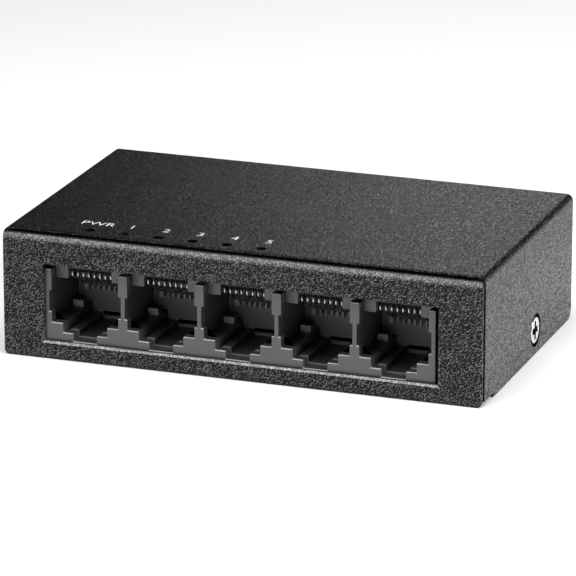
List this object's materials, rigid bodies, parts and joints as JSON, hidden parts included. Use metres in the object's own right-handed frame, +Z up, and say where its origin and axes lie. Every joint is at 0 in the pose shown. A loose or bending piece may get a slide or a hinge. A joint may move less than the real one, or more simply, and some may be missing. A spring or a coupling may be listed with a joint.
{
  "type": "desktop network switch",
  "caption": "Small desktop network switch: a flat black folded-steel case with a row of modular jacks in front, indicator holes on top and a barrel power inlet at the back.",
  "frame": {"origin": "centre of the underside of the case", "axes": "+X to the right seen from the jacks, +Y to the back, +Z up; the jacks face -Y"},
  "size_m": [0.0868, 0.0524, 0.0227],
  "materials": {
    "case_paint": "fine textured black powder coat",
    "port_plastic": "satin black moulded plastic",
    "insert_plastic": "satin black moulded plastic",
    "contact_metal": "bright plated spring alloy",
    "board_laminate": "green solder mask on glass laminate",
    "chip_resin": "matt black moulding resin",
    "clear_plastic": "clear moulded light pipe",
    "led_resin": "milky indicator lens",
    "legend_ink": "white printed ink",
    "screw_steel": "bright zinc-plated steel",
    "plated_brass": "nickel-plated brass",
    "sink_aluminium": "plain extruded aluminium",
    "pad_silicone": "soft silicone pad",
    "capacitor_can": "drawn aluminium can",
    "ferrite": "sintered dark grey"
  },
  "bodies": {
    "chassis": {"base_tray": "case_paint", "top_cover": "case_paint", "port_housing": "port_plastic", "port_1_carrier": "insert_plastic", "port_2_carrier": "insert_plastic", "port_3_carrier": "insert_plastic", "port_4_carrier": "insert_plastic", "port_5_carrier": "insert_plastic", "power_inlet_body": "insert_plastic", "power_inlet_spring": "contact_metal", "circuit_board": "board_laminate", "switch_chip": "chip_resin", "memory_chip": "chip_resin", "regulator_chip": "chip_resin", "port_transformer_1": "chip_resin", "port_transformer_2": "chip_resin", "port_transformer_3": "chip_resin", "port_transformer_4": "chip_resin", "port_transformer_5": "chip_resin", "light_guide": "clear_plastic", "led_power": "led_resin", "led_1": "led_resin", "led_2": "led_resin", "led_3": "led_resin", "led_4": "led_resin", "led_5": "led_resin", "cover_screw_left": "screw_steel", "cover_screw_right": "screw_steel", "board_screw_1": "screw_steel", "board_screw_2": "screw_steel", "board_screw_3": "screw_steel", "board_screw_4": "screw_steel", "board_spacer_1": "plated_brass", "board_spacer_2": "plated_brass", "board_spacer_3": "plated_brass", "board_spacer_4": "plated_brass", "power_inlet_pin": "plated_brass", "heat_sink": "sink_aluminium", "thermal_pad": "pad_silicone", "capacitor_1": "capacitor_can", "capacitor_2": "capacitor_can", "capacitor_3": "capacitor_can", "crystal": "capacitor_can", "power_inductor": "ferrite", "fuse": "ferrite"},
    "port_1_springs": {"port_1_contacts": "contact_metal"},
    "port_2_springs": {"port_2_contacts": "contact_metal"},
    "port_3_springs": {"port_3_contacts": "contact_metal"},
    "port_4_springs": {"port_4_contacts": "contact_metal"},
    "port_5_springs": {"port_5_contacts": "contact_metal"}
  },
  "joints": [
    {"name": "port_1_contact_flex", "type": "hinge", "parent": "chassis", "child": "port_1_springs", "pos_m": [-0.02844, -0.0211, 0.01487], "axis": [1, 0, 0], "range_deg": [0, 8], "stiffness_Nm_per_rad": 0.002},
    {"name": "port_2_contact_flex", "type": "hinge", "parent": "chassis", "child": "port_2_springs", "pos_m": [-0.01447, -0.0211, 0.01487], "axis": [1, 0, 0], "range_deg": [0, 8], "stiffness_Nm_per_rad": 0.002},
    {"name": "port_3_contact_flex", "type": "hinge", "parent": "chassis", "child": "port_3_springs", "pos_m": [-0.0005, -0.0211, 0.01487], "axis": [1, 0, 0], "range_deg": [0, 8], "stiffness_Nm_per_rad": 0.002},
    {"name": "port_4_contact_flex", "type": "hinge", "parent": "chassis", "child": "port_4_springs", "pos_m": [0.01347, -0.0211, 0.01487], "axis": [1, 0, 0], "range_deg": [0, 8], "stiffness_Nm_per_rad": 0.002},
    {"name": "port_5_contact_flex", "type": "hinge", "parent": "chassis", "child": "port_5_springs", "pos_m": [0.02744, -0.0211, 0.01487], "axis": [1, 0, 0], "range_deg": [0, 8], "stiffness_Nm_per_rad": 0.002}
  ]
}
